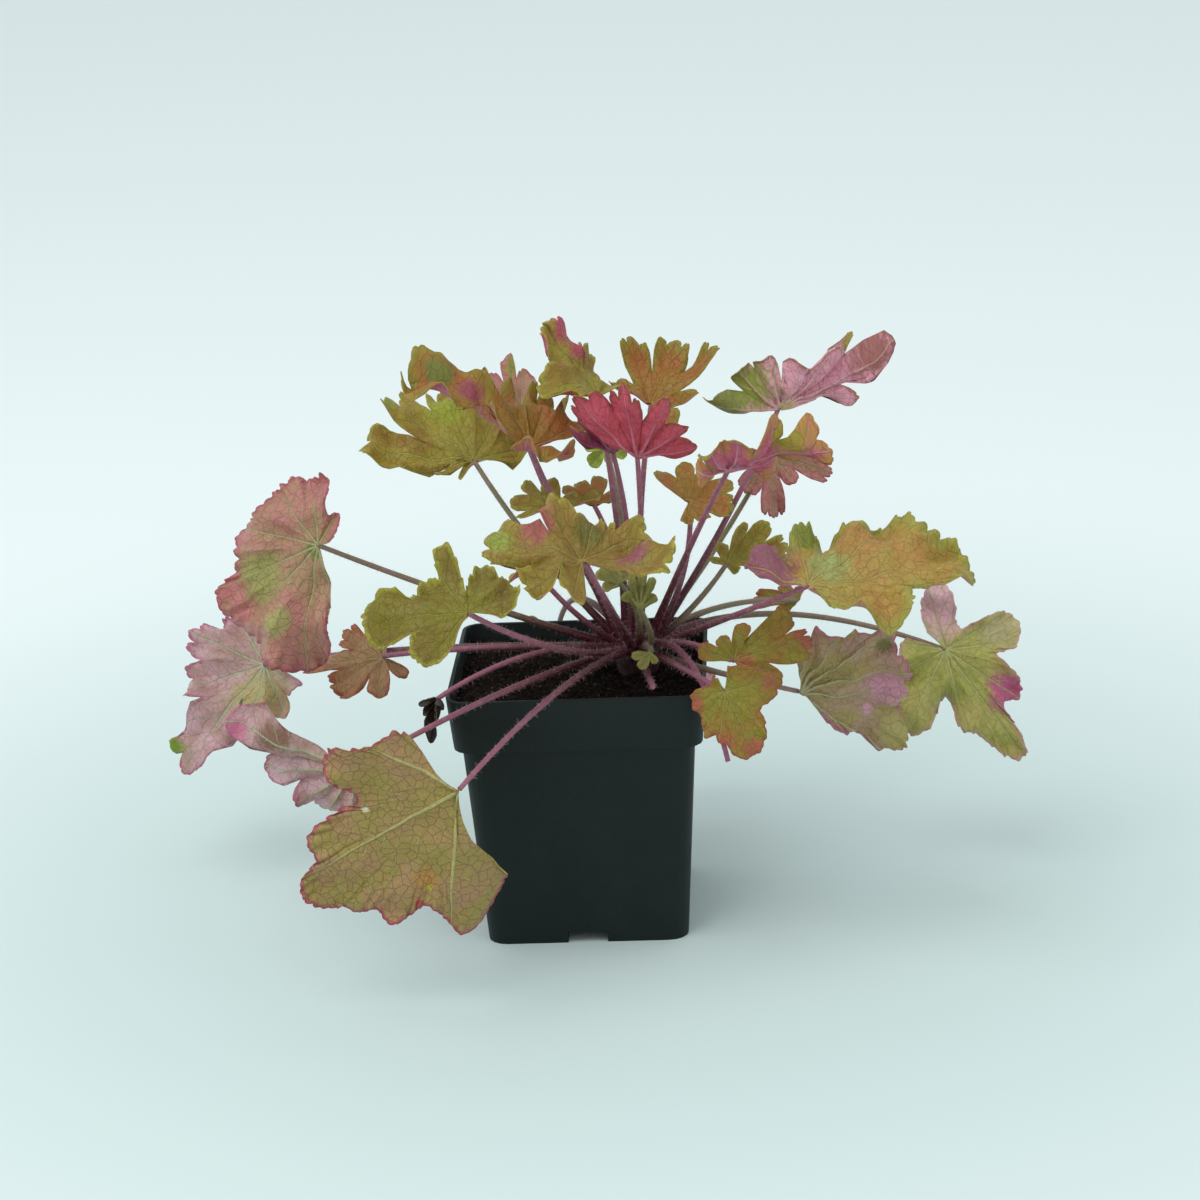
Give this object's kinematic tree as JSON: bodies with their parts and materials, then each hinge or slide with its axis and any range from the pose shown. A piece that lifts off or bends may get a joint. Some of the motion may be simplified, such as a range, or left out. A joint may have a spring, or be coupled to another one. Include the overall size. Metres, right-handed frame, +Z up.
{
  "type": "potted heuchera plant",
  "caption": "Bushy heuchera with lobed, toothed leaves in rose, olive and gold on thin wine-red stalks, in a small square nursery pot.",
  "frame": {"origin": "centre of the pot's underside, on the surface it stands on", "axes": "+Z up; X and Y along the pot's sides; the plant's front, the side with the big hanging leaf, faces -Y"},
  "size_m": [0.3177, 0.2136, 0.2136],
  "materials": {
    "pot": "matt, finely grained",
    "soil": "rough, moist potting compost, stood in for by fabric",
    "crown_with_stalks": "satin, finely haired",
    "blade_front_left": "soft satin leaf",
    "blade_left_low": "soft satin leaf",
    "blade_left_high": "soft satin leaf",
    "blade_left_back": "soft satin leaf",
    "blade_front_green": "soft satin leaf",
    "blade_left_small": "soft satin leaf",
    "blade_back_left": "soft satin leaf",
    "blade_left_top": "soft satin leaf",
    "blade_back_top": "soft satin leaf",
    "blade_top_left": "soft satin leaf",
    "blade_top_right": "soft satin leaf",
    "blade_centre_pink": "soft satin leaf",
    "blade_centre_dark": "soft satin leaf",
    "blade_right_top": "soft satin leaf",
    "blade_right_middle": "soft satin leaf",
    "blade_right_back": "soft satin leaf",
    "blade_centre_right": "soft satin leaf",
    "blade_centre_left": "soft satin leaf",
    "blade_centre_back": "soft satin leaf",
    "blade_centre_front": "soft satin leaf",
    "blade_right_front": "soft satin leaf",
    "blade_right_low": "soft satin leaf",
    "blade_right_lowest": "soft satin leaf",
    "blade_right_pink": "soft satin leaf",
    "blade_right_far": "soft satin leaf",
    "blade_right_small": "soft satin leaf",
    "blade_right_olive": "soft satin leaf",
    "blade_young_upright": "soft satin leaf",
    "blade_young_low": "soft satin leaf",
    "blade_left_mauve": "soft satin leaf",
    "blade_centre_lime": "soft satin leaf",
    "blade_dry_left": "matt dried leaf",
    "blade_back_low": "soft satin leaf",
    "blade_back_lowest": "soft satin leaf",
    "blade_centre_small": "soft satin leaf"
  },
  "bodies": {
    "root": {"pot": "pot", "soil": "soil", "crown_with_stalks": "crown_with_stalks", "blade_front_left": "blade_front_left", "blade_left_low": "blade_left_low", "blade_left_high": "blade_left_high", "blade_left_back": "blade_left_back", "blade_front_green": "blade_front_green", "blade_left_small": "blade_left_small", "blade_back_left": "blade_back_left", "blade_left_top": "blade_left_top", "blade_back_top": "blade_back_top", "blade_top_left": "blade_top_left", "blade_top_right": "blade_top_right", "blade_centre_pink": "blade_centre_pink", "blade_centre_dark": "blade_centre_dark", "blade_right_top": "blade_right_top", "blade_right_middle": "blade_right_middle", "blade_right_back": "blade_right_back", "blade_centre_right": "blade_centre_right", "blade_centre_left": "blade_centre_left", "blade_centre_back": "blade_centre_back", "blade_centre_front": "blade_centre_front", "blade_right_front": "blade_right_front", "blade_right_low": "blade_right_low", "blade_right_lowest": "blade_right_lowest", "blade_right_pink": "blade_right_pink", "blade_right_far": "blade_right_far", "blade_right_small": "blade_right_small", "blade_right_olive": "blade_right_olive", "blade_young_upright": "blade_young_upright", "blade_young_low": "blade_young_low", "blade_left_mauve": "blade_left_mauve", "blade_centre_lime": "blade_centre_lime", "blade_dry_left": "blade_dry_left", "blade_back_low": "blade_back_low", "blade_back_lowest": "blade_back_lowest", "blade_centre_small": "blade_centre_small"}
  },
  "joints": []
}
